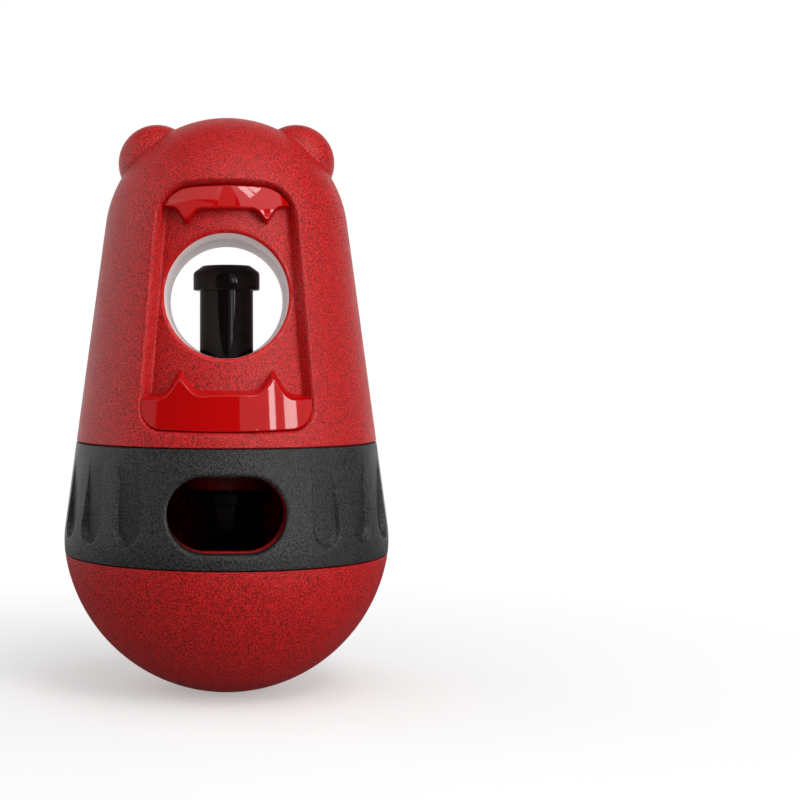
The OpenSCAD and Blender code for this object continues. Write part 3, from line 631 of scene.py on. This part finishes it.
def makeShell():
    e, wall = shell["edge"], shell["wall"]
    socketTop = spigotTop + sleeve["spigotGap"]
    half = shell["faceHalf"]
    sectors = []
    for middle in (-pi / 2, pi / 2):
        sectors.append((middle - half, 2 * half, shell["faceSteps"]))
        sectors.append((middle + half, pi - 2 * half, shell["sideSteps"]))
    bm = lathe(shellSkin()[::-1] + shellLining(socketTop), closed=False, sectors=sectors)
    deep = recess["depth"] + recess["backing"]
    for v in bm.verts:
        x, y, z = v.co
        r = hypot(x, y)
        towards = 1 if y > 0 else -1
        facing = abs(y) > shell["facing"] * r and z < recess["top"] + recess["topRoom"]
        onLining = z > socketTop + shell["liningLow"] and abs(r - eggRadius(z, wall)) < shell["onLining"]
        if abs(r - eggRadius(z)) < shell["onSkin"] and z > shellZ + 0.5 * e:
            inset = recessInset(x, z) if facing else 0.0
            if inset > 0:
                inset += roundEdge(hypot(x, z - window["middle"]) - window["r"], window["rim"])
                v.co.y = towards * eggFront(x, z, inset)
        elif facing and onLining:
            t = recessInside(x, z, recess["backing"])[0]
            if t > 0:
                v.co.y = towards * eggFront(x, z, wall + (deep - wall) * min(1.0, t / recess["sideW"]))
    obj = carve(toObject(bm, "upperShell"), [makeEar(-1), makeEar(1)], "UNION")
    hole = rod(window["r"], -through, through, "Y", (0, window["middle"]), window["cutSteps"])
    carve(obj, [hole, tube(0.0, seatR, recess["depth"] + window["lip"])])
    dress(obj, "shell", [redGrain, redRim], ["upper_shell"], crease=40)
    rimR, rimDeep = window["r"] + window["rimShare"] * window["rim"], recess["depth"] + 2 * window["rim"]
    for face in obj.data.polygons:  # the window's rounded rim is smooth
        x, y, z = face.center
        if hypot(x, z - window["middle"]) < rimR and abs(y) > eggFront(x, z, rimDeep):
            face.material_index = 1


def tube(rIn, rOut, inset):
    # tube along Y, or a plug without a bore, whose ends follow the body's curve
    rows = window["rows"]
    ends = [-1 + 2 * i / rows for i in range(rows + 1)]
    points = [(rOut, t) for t in ends]
    if rIn:
        points += [(rIn, t) for t in ends[::-1]]
    else:
        capR = rOut * window["plugIn"]
        points = [(0.0, -1.0), (capR, -1.0)] + points + [(capR, 1.0), (0.0, 1.0)]
    bm = lathe(points, window["steps"], closed=bool(rIn))
    for v in bm.verts:
        x, z = v.co.x, v.co.y + window["middle"]
        v.co = Vector((x, v.co.z * eggFront(x, z, inset), z))
    bmesh.ops.recalc_face_normals(bm, faces=bm.faces)
    return bm


def makeTube(name, rIn, rOut, inset, holeR):
    # a tube along Y with a hole in its floor for the stem
    return carve(toObject(tube(rIn, rOut, inset), name), [rod(holeR, window["passLow"], window["middle"])])


def makeStemTube():
    low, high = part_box("stem_tube")
    r, bore, e = window["passR"] + window["tubeWall"], window["passR"], shell["edge"]
    top = high.z + window["tubeOver"]
    points = [(bore, low.z + e), (bore + e, low.z), (r - e, low.z), (r, low.z + e), (r, top), (bore, top)]
    seat = rod(seatR, -through, through, "Y", (0, window["middle"]), window["steps"])
    obj = carve(toObject(lathe(points, window["tubeSteps"]), "stemTube"), [seat])
    # the stem tube takes the darker red, painted shade for the inside of the outlet
    dress(obj, "shell", [redPaintedShade], ["stem_tube"])


makeShell()
middleOfWall = recess["depth"] + recess["backing"] / 2
tubeHoleR = window["passR"] + window["tubeWall"] + window["tubeGap"]
tunnel = makeTube("windowTunnel", seatR, seatR + window["tunnelWall"], middleOfWall, tubeHoleR)
dress(tunnel, "shell", [redGrain], ["upper_shell"])
linerEnd = recess["depth"] + window["lip"] + window["linerGap"]
liner = makeTube("windowLiner", window["r"] + window["hide"], linerR, linerEnd, window["passR"])
dress(liner, "shell", [linerSatin], ["window_liner"])
makeStemTube()

# gloss trims in the recess
trim = dict(edge=0.22 * mm, step=0.2 * mm, rows=14, tipR=0.6 * mm, tipLowR=0.35 * mm, tipGrow=1.75,
            sideGrow=0.3, cornerSteps=24, seatGap=0.05 * mm, weld=0.002 * mm)
upperTrim = dict(edge=130.0 * mm, pointX=10.5 * mm, pointLen=3.4 * mm, pointW=5.4 * mm, rootR=3.2 * mm,
                 shoulder=0.8 * mm, up=1, sink=1.6 * mm, gap=1.35 * mm, lean=0.6 * mm)
lowerTrim = dict(edge=81.6 * mm, pointX=12 * mm, pointLen=4.6 * mm, pointW=7.2 * mm, rootR=4 * mm,
                 shoulder=1.1 * mm, up=-1, sink=0.5 * mm, gap=0.4 * mm, lean=1.2 * mm)


def roundedChain(points, radii, steps=8):
    # a chain of straight runs with its inner corners rounded off
    chain = [Vector(points[0])]
    for before, here, after, r in zip(points, points[1:], points[2:], radii):
        here = Vector(here)
        u, v = (Vector(before) - here).normalized(), (Vector(after) - here).normalized()
        half = u.angle(v) / 2
        middle = here + (u + v).normalized() * r / sin(half)
        first, last = here + u * r / tan(half) - middle, here + v * r / tan(half) - middle
        turn = first.angle_signed(last)
        chain += [middle + Matrix.Rotation(-turn * i / steps, 2) @ first for i in range(steps + 1)]
    return chain + [Vector(points[-1])]


def evenChain(chain, count):
    # the same chain with points at even distances
    length = [0.0]
    for p, q in zip(chain, chain[1:]):
        length.append(length[-1] + (q - p).length)
    even, k = [], 0
    for i in range(count + 1):
        want = length[-1] * i / count
        while k < len(chain) - 2 and length[k + 1] < want:
            k += 1
        even.append(chain[k].lerp(chain[k + 1], (want - length[k]) / max(length[k + 1] - length[k], 1e-12)))
    return even


def trimChains(spec, gap, grow, tipR, count):
    # the side that follows the recess, and the free edge with its two points
    up, px, w = spec["up"], spec["pointX"], spec["pointW"] / 2
    edge, out = spec["edge"] - up * grow, spec["edge"] + up * (spec["shoulder"] - grow)
    tip = spec["edge"] - up * (spec["pointLen"] + trim["tipGrow"] * grow)
    low, high = recessLow, recess["top"]
    slant = (recess["halfLow"] - recess["halfTop"]) / (high - low)
    draw = gap * sqrt(1 + slant * slant)
    far = high - gap if up > 0 else low + gap
    corner = (recess["cornerTop"] if up > 0 else recess["cornerLow"]) - gap
    start = out - up * corner
    halfAt = [recess["halfLow"] - (z - low) * slant - draw for z in (start, far)]
    along = [(-halfAt[0], start), (-halfAt[1], far), (halfAt[1], far), (halfAt[0], start)]
    border = evenChain(roundedChain(along, [corner, corner], trim["cornerSteps"]), 4 * count)
    side = [p for p in border if up * (p.y - out) > 0]
    end = side[-1].x
    side = evenChain([Vector((x, z + recessBow(x, z))) for x, z in side], count)
    root, reach = spec["rootR"], w + trim["sideGrow"] * grow
    free = [(-end, out), (-px - reach, out), (-px, tip), (-px + reach, edge),
            (px - reach, edge), (px, tip), (px + reach, out), (end, out)]
    free = evenChain(roundedChain(free, [root, tipR, root, root, tipR, root]), count)
    side[0], side[-1] = free[0], free[-1]
    return side, free


def makeTrim(name, node, spec, turn):
    wall = recess["topW"] if spec["up"] > 0 else recess["lowW"]
    drawn = spec["gap"] + min(wall, recess["sideW"]) * (recess["depth"] - spec["sink"]) / recess["depth"]
    count = round(2 * recess["halfLow"] / trim["step"])
    side, free = trimChains(spec, spec["gap"], 0.0, trim["tipR"], count)
    sideLow, freeLow = trimChains(spec, drawn, spec["lean"], trim["tipLowR"], count)
    bm = bmesh.new()

    def row(points, inset):
        return [bm.verts.new((p.x, -eggFront(p.x, p.y, inset), p.y)) for p in points]

    rows = []
    for j in range(trim["rows"] + 1):
        rows.append(row([p.lerp(q, j / trim["rows"]) for p, q in zip(side, free)], spec["sink"]))
    seat = recess["depth"] - trim["seatGap"]
    rows += [row(freeLow, seat), row(sideLow, seat)]
    for j, (a, b) in enumerate(zip(rows, rows[1:] + rows[:1])):
        for i in range(count):
            bm.faces.new((a[i], a[i + 1], b[i + 1], b[i])).material_index = 0 if j < trim["rows"] else 1
    bmesh.ops.remove_doubles(bm, verts=bm.verts, dist=trim["weld"])
    bmesh.ops.holes_fill(bm, edges=bm.edges, sides=8)
    bmesh.ops.recalc_face_normals(bm, faces=bm.faces)
    shared = [e for e in bm.edges if len(e.link_faces) == 2]
    rim = [e for e in shared if e.link_faces[0].material_index != e.link_faces[1].material_index]
    bmesh.ops.bevel(bm, geom=rim, offset=trim["edge"], offset_type="OFFSET", affect="EDGES", segments=2,
                    profile=0.5, material=-1)
    if turn:
        bmesh.ops.rotate(bm, cent=(0, 0, 0), matrix=Matrix.Rotation(pi, 3, "Z"), verts=bm.verts)
    dress(toObject(bm, name), "shell", [redGloss, redGrain], [node], crease=50)


makeTrim("frontUpperTrim", "front_upper_trim", upperTrim, False)
makeTrim("frontLowerTrim", "front_lower_trim", lowerTrim, False)
makeTrim("rearUpperTrim", "rear_upper_trim", upperTrim, True)
makeTrim("rearLowerTrim", "rear_lower_trim", lowerTrim, True)

# knob, its housing and the spring under it
knob = dict(stemR=7.4 * mm, capR=9.2 * mm, bevel=2.1 * mm, bevelW=2.4 * mm, plugR=4.5 * mm, edge=0.55 * mm)
core = dict(r=10.5 * mm, wall=1.5 * mm, footR=17.5 * mm, footT=2.5 * mm, collarR=12.4 * mm, collarT=3.2 * mm,
            guideGap=0.1 * mm, plugGap=0.05 * mm, stemGap=0.3 * mm, edge=0.3 * mm)
spring = dict(wire=1.2 * mm, r=6.8 * mm, turns=5, steps=28, sides=10, travel=9 * mm)


def makeKnob():
    low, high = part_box("knob_stem")
    capLow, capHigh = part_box("knob_cap")
    e, r, plug = knob["edge"], knob["stemR"], knob["plugR"]
    foot = core["r"] - core["wall"] - core["stemGap"]
    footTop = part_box("housing_collar")[0].z - core["stemGap"]
    stem = [(0.0, low.z), (foot - e, low.z), (foot, low.z + e), (foot, footTop - e), (foot - e, footTop),
            (r, footTop), (r, capLow.z), (plug, capLow.z), (plug, high.z), (0.0, high.z)]
    dress(toObject(lathe(stem, closed=False), "knobStem"), "knob", [blackGloss], ["knob_stem"])
    r, flat, top = knob["capR"], knob["capR"] - knob["bevelW"], capHigh.z
    side, bore, inside = top - knob["bevel"], plug + core["plugGap"], high.z + core["plugGap"]
    cap = [(bore, capLow.z), (r - e, capLow.z), (r - 0.3 * e, capLow.z + 0.3 * e), (r, capLow.z + e),
           (r, side - e), (r - 0.2 * e, side - 0.1 * e), (r - 0.5 * e, side + 0.6 * e),
           (flat + 0.5 * e, top - 0.7 * e), (flat - 0.2 * e, top - 0.12 * e), (flat - e, top),
           (0.0, top), (0.0, inside), (bore, inside)]
    dress(toObject(lathe(cap), "knobCap"), "knob", [blackGloss], ["knob_cap"])


def makeCore():
    low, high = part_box("core_housing")
    collarLow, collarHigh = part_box("housing_collar")
    e, r, footR = core["edge"], core["r"], core["footR"]
    bore, floor = r - core["wall"], low.z + core["footT"]
    housing = [(0.0, low.z), (footR, low.z), (footR, floor - e), (footR - e, floor), (r + 2 * e, floor),
               (r, floor + 2 * e), (r, high.z), (bore, high.z), (bore, floor), (0.0, floor)]
    holes = screwRods(screws["housingAt"], screws["housingHoleR"], 0.0, ringZ)
    obj = carve(toObject(lathe(housing, closed=False), "coreHousing"), holes)
    dress(obj, "base", [blackGloss], ["core_housing"])
    guide, r = knob["stemR"] + core["guideGap"], core["collarR"]
    plug, seat, top = bore - core["plugGap"], collarHigh.z - core["collarT"], collarHigh.z
    collar = [(guide, collarLow.z), (plug, collarLow.z), (plug, seat), (r - e, seat), (r, seat + e),
              (r, top - e), (r - e, top), (guide + e, top), (guide, top - e)]
    dress(toObject(lathe(collar), "housingCollar"), "base", [blackGloss], ["housing_collar"])


def makeSpring():
    low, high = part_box("return_spring")
    r, wire, sides = spring["r"], spring["wire"] / 2, spring["sides"]
    rise = (high.z - low.z - spring["wire"]) / spring["turns"]
    bm = bmesh.new()
    around = spread(0, 2 * pi, 2 * pi / sides)
    loop = [bm.verts.new((r + wire * cos(a), 0, low.z + wire + wire * sin(a))) for a in around]
    edges = [bm.edges.new((loop[i], loop[(i + 1) % sides])) for i in range(sides)]
    bmesh.ops.spin(bm, geom=loop + edges, cent=(0, 0, 0), axis=(0, 0, 1), dvec=(0, 0, rise / spring["steps"]),
                   angle=2 * pi * spring["turns"], steps=spring["turns"] * spring["steps"], use_merge=False,
                   use_normal_flip=False, use_duplicate=False)
    bmesh.ops.holes_fill(bm, edges=bm.edges, sides=sides)
    bmesh.ops.recalc_face_normals(bm, faces=bm.faces)
    obj = dress(toObject(bm, "returnSpring"), "base", [screwSteel], ["return_spring"], crease=60)
    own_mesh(obj)


makeKnob()
makeCore()
makeSpring()

# pieces that stay as the frame has them
plainLooks = dict(counterweight=castIron, weight_cover=redGrain, cover_screws=screwSteel,
                  housing_screws=screwSteel)
for node, look in plainLooks.items():
    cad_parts[node].data.materials.clear()
    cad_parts[node].data.materials.append(look)
print("pieces made")

# camera, at the photo's angle: the photo has the part left of its middle and still straight on
view = dict(away=457.6 * mm, level=92.16 * mm, lens=74.25, sensor=36.0, clip=10 * mm, axisRight=173.5,
            levelUp=46.0, pixels=800.0)
camera = bpy.data.objects.new("camera", bpy.data.cameras.new("camera"))
scene.collection.objects.link(camera)
scene.camera = camera
camera.data.lens, camera.data.sensor_width = view["lens"], view["sensor"]
camera.data.shift_x = view["axisRight"] / view["pixels"]
camera.data.shift_y = -view["levelUp"] / view["pixels"]
camera.data.clip_start = view["clip"]
camera.location = (0, -view["away"], view["level"])
camera.rotation_euler = (pi / 2, 0, 0)

# lamps, each with its size, glow, azimuth, rise, distance and roll
lampAim = 90 * mm  # height that they face


def lamp(name, size, glow, azimuth, rise, away, roll=0.0):
    # a soft box that faces the part; glow is the brightness of its face
    light = bpy.data.lights.new(name, "AREA")
    light.shape, light.size, light.size_y = "RECTANGLE", size[0], size[1]
    light.energy = glow * pi * size[0] * size[1]
    obj = bpy.data.objects.new(name, light)
    scene.collection.objects.link(obj)
    a, e = radians(azimuth), radians(rise)
    obj.location = (away * cos(e) * sin(a), -away * cos(e) * cos(a), lampAim + away * sin(e))
    face = (obj.location - Vector((0, 0, lampAim))).to_track_quat("Z", "Y").to_matrix()
    obj.rotation_euler = (face @ Matrix.Rotation(radians(roll), 3, "Z")).to_euler()
    return obj


lamp("leftBox", (0.7, 1.0), 1.25, -112, 14, 1.0)
lamp("leftPanel", (0.7, 0.7), 0.45, -74, 8, 1.1)
lamp("rightStripNear", (0.078, 0.66), 10.5, 35.5, 7, 0.95)
lamp("rightStripFar", (0.17, 0.66), 9.0, 50.5, 7, 0.95)
lamp("rightPanel", (1.4, 0.7), 0.62, 42, 6, 1.15)
lamp("highLeft", (0.95, 0.42), 0.95, -40, 46, 1.1, 12)
lamp("midLeft", (0.95, 0.34), 0.42, -40, 26.5, 1.1)
lamp("highMiddle", (0.3, 0.55), 0.4, 0, 43, 1.1)
lamp("highRight", (0.8, 0.6), 1.5, 38, 42, 1.1)
lamp("paneNear", (0.09, 0.22), 9.0, 24, 45, 0.9, 35)
lamp("paneFar", (0.14, 0.15), 9.0, 35.5, 48, 0.9, 35)
lamp("knobGlint", (0.014, 0.16), 24.0, 23, 1, 0.9)
lamp("overRight", (0.7, 0.5), 1.8, 42, 70, 1.0)
backBox = lamp("backBox", (1.0, 0.8), 1.8, 145, 0, 1.0)
backBox.visible_camera = backBox.visible_glossy = False


# floor: pale and plain, with the part's shadow on it
def larger(nodes, links, first, second):
    either = nodes.new("ShaderNodeMath")
    either.operation = "MAXIMUM"
    links.new(first, either.inputs[0])
    links.new(second, either.inputs[1])
    return either.outputs["Value"]


def directRay(nodes, links, path):
    # rays from the camera, straight or through something clear
    return larger(nodes, links, path.outputs["Is Camera Ray"], path.outputs["Is Transmission Ray"])


ground = dict(half=4.0, rough=0.9, spec=0.1, behind=(0.25, 0.5), fade=(0.05, 0.22), nearFade=0.35)
floorMesh = bmesh.new()
bmesh.ops.create_grid(floorMesh, x_segments=2, y_segments=2, size=ground["half"])
floor = toObject(floorMesh, "floor")
floorLook, nodes, links, shader, where = newLook("paleFloor")
shader.inputs["Roughness"].default_value = ground["rough"]
shader.inputs["Specular IOR Level"].default_value = ground["spec"]
path = nodes.new("ShaderNodeLightPath")
place = nodes.new("ShaderNodeSeparateXYZ")
links.new(where, place.inputs["Vector"])
mirrored = nodes.new("ShaderNodeMath")  # gloss sees the white floor behind the part
mirrored.operation = "MULTIPLY"
links.new(between(nodes, links, place.outputs["Y"], 0.0, 1.0, *ground["behind"]), mirrored.inputs[0])
links.new(path.outputs["Is Glossy Ray"], mirrored.inputs[1])
seen = larger(nodes, links, directRay(nodes, links, path), mirrored.outputs["Value"])


def floorShade(plain, glossy, shown):
    # brightness for bounced light, in gloss, and as it is seen
    shade = nodes.new("ShaderNodeMapRange")
    shade.inputs["To Max"].default_value = shown
    unseen = between(nodes, links, path.outputs["Is Glossy Ray"], plain, glossy, 0.0, 1.0)
    links.new(unseen, shade.inputs["To Min"])
    links.new(seen, shade.inputs["Value"])
    return shade.outputs["Result"]


links.new(floorShade(plain=0.45, glossy=0.12, shown=0.92), shader.inputs["Base Color"])
away = nodes.new("ShaderNodeVectorMath")
away.operation = "LENGTH"
links.new(where, away.inputs[0])
fade = between(nodes, links, away.outputs["Value"], ground["nearFade"], 1.0, *ground["fade"])
plain = nodes.new("ShaderNodeEmission")
links.new(floorShade(plain=0.41, glossy=0.1, shown=1.0), plain.inputs["Color"])
mix = nodes.new("ShaderNodeMixShader")
links.new(fade, mix.inputs["Fac"])
links.new(shader.outputs["BSDF"], mix.inputs[1])
links.new(plain.outputs["Emission"], mix.inputs[2])
links.new(mix.outputs["Shader"], nodes["Material Output"].inputs["Surface"])
floor.data.materials.append(floorLook)

# background: mild light; gloss sees the white behind the part and a dim room before it
room = dict(plain=0.34, dim=0.05, white=0.85, behind=(0.66, 0.93))
world = bpy.data.worlds.new("studio")
world.use_nodes = True
scene.world = world
nodes, links = world.node_tree.nodes, world.node_tree.links
back = nodes["Background"]
path = nodes.new("ShaderNodeLightPath")
gaze = nodes.new("ShaderNodeSeparateXYZ")
links.new(nodes.new("ShaderNodeTexCoord").outputs["Generated"], gaze.inputs["Vector"])
level = nodes.new("ShaderNodeMapRange")
level.inputs["To Min"].default_value = room["plain"]
inGloss = between(nodes, links, gaze.outputs["Y"], room["dim"], room["white"], *room["behind"])
links.new(inGloss, level.inputs["To Max"])
links.new(path.outputs["Is Glossy Ray"], level.inputs["Value"])
strength = larger(nodes, links, level.outputs["Result"], directRay(nodes, links, path))
links.new(strength, back.inputs["Strength"])
back.inputs["Color"].default_value = (1, 1, 1, 1)
print("stage and light set")

print("scene ready")
